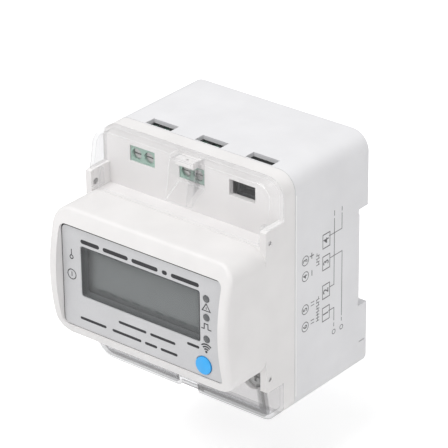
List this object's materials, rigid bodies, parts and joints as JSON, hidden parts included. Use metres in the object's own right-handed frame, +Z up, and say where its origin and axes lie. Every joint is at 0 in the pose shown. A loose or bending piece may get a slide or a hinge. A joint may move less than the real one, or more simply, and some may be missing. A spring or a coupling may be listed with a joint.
{
  "type": "smart electric meter",
  "caption": "Rail-mounted electricity meter with a stepped white case, silver face in a convex bezel, push button, clear hinged terminal covers, screw terminals and a rail clip.",
  "frame": {"origin": "rail seat face on the rail's centre line, middle of the width", "axes": "+X right seen from the front, +Y back towards the rail, +Z up"},
  "size_m": [0.074, 0.0728, 0.0842],
  "materials": {
    "housing_white": "fine satin moulded",
    "clear_cover": "clear polycarbonate",
    "faceplate_silver": "silver printed overlay",
    "lens_clear": "polished",
    "lcd_glass": "dark display glass",
    "board_green": "solder mask",
    "button_blue": "smooth",
    "terminal_green": "moulded",
    "terminal_dark": "moulded",
    "screw_steel": "zinc plated",
    "brass_cage": "plated",
    "copper_bar": "bare copper",
    "shunt_alloy": "manganin",
    "relay_case": "moulded",
    "ferrite": "ferrite and tape",
    "can_tin": "tinned can",
    "holder_white": "moulded",
    "ribbon_grey": "flat cable",
    "clip_grey": "moulded"
  },
  "bodies": {
    "case": {"rear_housing": "housing_white", "front_housing": "housing_white", "faceplate": "faceplate_silver", "display_window": "lens_clear", "lcd_panel": "lcd_glass", "lcd_holder": "holder_white", "backlight_panel": "holder_white", "display_board": "board_green", "led_light_pipes": "lens_clear", "status_led_1": "lens_clear", "status_led_2": "lens_clear", "status_led_3": "lens_clear", "tact_switch": "relay_case", "display_ribbon": "ribbon_grey", "main_board": "board_green", "latching_relay": "relay_case", "supply_transformer": "ferrite", "supply_capacitor": "relay_case", "wireless_module": "can_tin", "current_shunt": "shunt_alloy", "line_in_busbar": "copper_bar", "line_out_busbar": "copper_bar", "neutral_busbar": "copper_bar", "terminal_carrier": "terminal_dark", "signal_terminal_left": "terminal_green", "signal_terminal_middle": "terminal_green", "spare_bay_block": "terminal_dark", "housing_screw_1": "screw_steel", "housing_screw_2": "screw_steel", "housing_screw_3": "screw_steel", "housing_screw_4": "screw_steel"},
    "upper_cover": {"upper_cover": "clear_cover"},
    "lower_cover": {"lower_cover": "clear_cover"},
    "mode_button": {"mode_button": "button_blue", "switch_plunger": "relay_case"},
    "rail_clip": {"rail_clip": "clip_grey"},
    "mains_screw_1": {"mains_screw_1": "screw_steel"},
    "mains_cage_1": {"mains_cage_1": "brass_cage"},
    "mains_screw_2": {"mains_screw_2": "screw_steel"},
    "mains_cage_2": {"mains_cage_2": "brass_cage"},
    "mains_screw_3": {"mains_screw_3": "screw_steel"},
    "mains_cage_3": {"mains_cage_3": "brass_cage"},
    "mains_screw_4": {"mains_screw_4": "screw_steel"},
    "mains_cage_4": {"mains_cage_4": "brass_cage"},
    "signal_screw_6": {"signal_screw_6": "screw_steel"},
    "signal_clamp_6": {"signal_clamp_6": "brass_cage"},
    "signal_screw_5": {"signal_screw_5": "screw_steel"},
    "signal_clamp_5": {"signal_clamp_5": "brass_cage"},
    "signal_screw_4": {"signal_screw_4": "screw_steel"},
    "signal_clamp_4": {"signal_clamp_4": "brass_cage"},
    "signal_screw_3": {"signal_screw_3": "screw_steel"},
    "signal_clamp_3": {"signal_clamp_3": "brass_cage"}
  },
  "joints": [
    {"name": "upper_cover_hinge", "type": "hinge", "parent": "case", "child": "upper_cover", "pos_m": [0, -0.0467, 0.0242], "axis": [1, 0, 0], "range_deg": [0, 84]},
    {"name": "lower_cover_hinge", "type": "hinge", "parent": "case", "child": "lower_cover", "pos_m": [0, -0.0467, -0.0242], "axis": [-1, 0, 0], "range_deg": [0, 84]},
    {"name": "mode_button_press", "type": "slide", "parent": "case", "child": "mode_button", "axis": [0, 1, 0], "range_m": [0, 0.0008], "stiffness_N_per_m": 600},
    {"name": "rail_clip_slide", "type": "slide", "parent": "case", "child": "rail_clip", "axis": [0, 0, -1], "range_m": [0, 0.003]},
    {"name": "mains_screw_1_turn", "type": "hinge", "parent": "case", "child": "mains_screw_1", "pos_m": [-0.024, -0.0379, -0.0315], "axis": [0, 1, 0], "range_deg": [0, 2521]},
    {"name": "mains_cage_1_slide", "type": "slide", "parent": "case", "child": "mains_cage_1", "axis": [0, -1, 0], "range_m": [0, 0.0056]},
    {"name": "mains_screw_2_turn", "type": "hinge", "parent": "case", "child": "mains_screw_2", "pos_m": [-0.008, -0.0379, -0.0315], "axis": [0, 1, 0], "range_deg": [0, 2521]},
    {"name": "mains_cage_2_slide", "type": "slide", "parent": "case", "child": "mains_cage_2", "axis": [0, -1, 0], "range_m": [0, 0.0056]},
    {"name": "mains_screw_3_turn", "type": "hinge", "parent": "case", "child": "mains_screw_3", "pos_m": [0.008, -0.0379, -0.0315], "axis": [0, 1, 0], "range_deg": [0, 2521]},
    {"name": "mains_cage_3_slide", "type": "slide", "parent": "case", "child": "mains_cage_3", "axis": [0, -1, 0], "range_m": [0, 0.0056]},
    {"name": "mains_screw_4_turn", "type": "hinge", "parent": "case", "child": "mains_screw_4", "pos_m": [0.024, -0.0379, -0.0315], "axis": [0, 1, 0], "range_deg": [0, 2521]},
    {"name": "mains_cage_4_slide", "type": "slide", "parent": "case", "child": "mains_cage_4", "axis": [0, -1, 0], "range_m": [0, 0.0056]},
    {"name": "signal_screw_6_turn", "type": "hinge", "parent": "case", "child": "signal_screw_6", "pos_m": [-0.02304, -0.0386, 0.03445], "axis": [0, 1, 0], "range_deg": [0, 1081]},
    {"name": "signal_clamp_6_slide", "type": "slide", "parent": "case", "child": "signal_clamp_6", "axis": [0, -1, 0], "range_m": [0, 0.0015]},
    {"name": "signal_screw_5_turn", "type": "hinge", "parent": "case", "child": "signal_screw_5", "pos_m": [-0.01796, -0.0386, 0.03445], "axis": [0, 1, 0], "range_deg": [0, 1081]},
    {"name": "signal_clamp_5_slide", "type": "slide", "parent": "case", "child": "signal_clamp_5", "axis": [0, -1, 0], "range_m": [0, 0.0015]},
    {"name": "signal_screw_4_turn", "type": "hinge", "parent": "case", "child": "signal_screw_4", "pos_m": [-0.00254, -0.0386, 0.03445], "axis": [0, 1, 0], "range_deg": [0, 1081]},
    {"name": "signal_clamp_4_slide", "type": "slide", "parent": "case", "child": "signal_clamp_4", "axis": [0, -1, 0], "range_m": [0, 0.0015]},
    {"name": "signal_screw_3_turn", "type": "hinge", "parent": "case", "child": "signal_screw_3", "pos_m": [0.00254, -0.0386, 0.03445], "axis": [0, 1, 0], "range_deg": [0, 1081]},
    {"name": "signal_clamp_3_slide", "type": "slide", "parent": "case", "child": "signal_clamp_3", "axis": [0, -1, 0], "range_m": [0, 0.0015]}
  ],
  "couplings": [
    {"joint": "mains_screw_1_turn", "follows": "mains_cage_1_slide", "rad_per_m": 7854},
    {"joint": "mains_screw_2_turn", "follows": "mains_cage_2_slide", "rad_per_m": 7854},
    {"joint": "mains_screw_3_turn", "follows": "mains_cage_3_slide", "rad_per_m": 7854},
    {"joint": "mains_screw_4_turn", "follows": "mains_cage_4_slide", "rad_per_m": 7854},
    {"joint": "signal_screw_6_turn", "follows": "signal_clamp_6_slide", "rad_per_m": 12566},
    {"joint": "signal_screw_5_turn", "follows": "signal_clamp_5_slide", "rad_per_m": 12566},
    {"joint": "signal_screw_4_turn", "follows": "signal_clamp_4_slide", "rad_per_m": 12566},
    {"joint": "signal_screw_3_turn", "follows": "signal_clamp_3_slide", "rad_per_m": 12566}
  ]
}
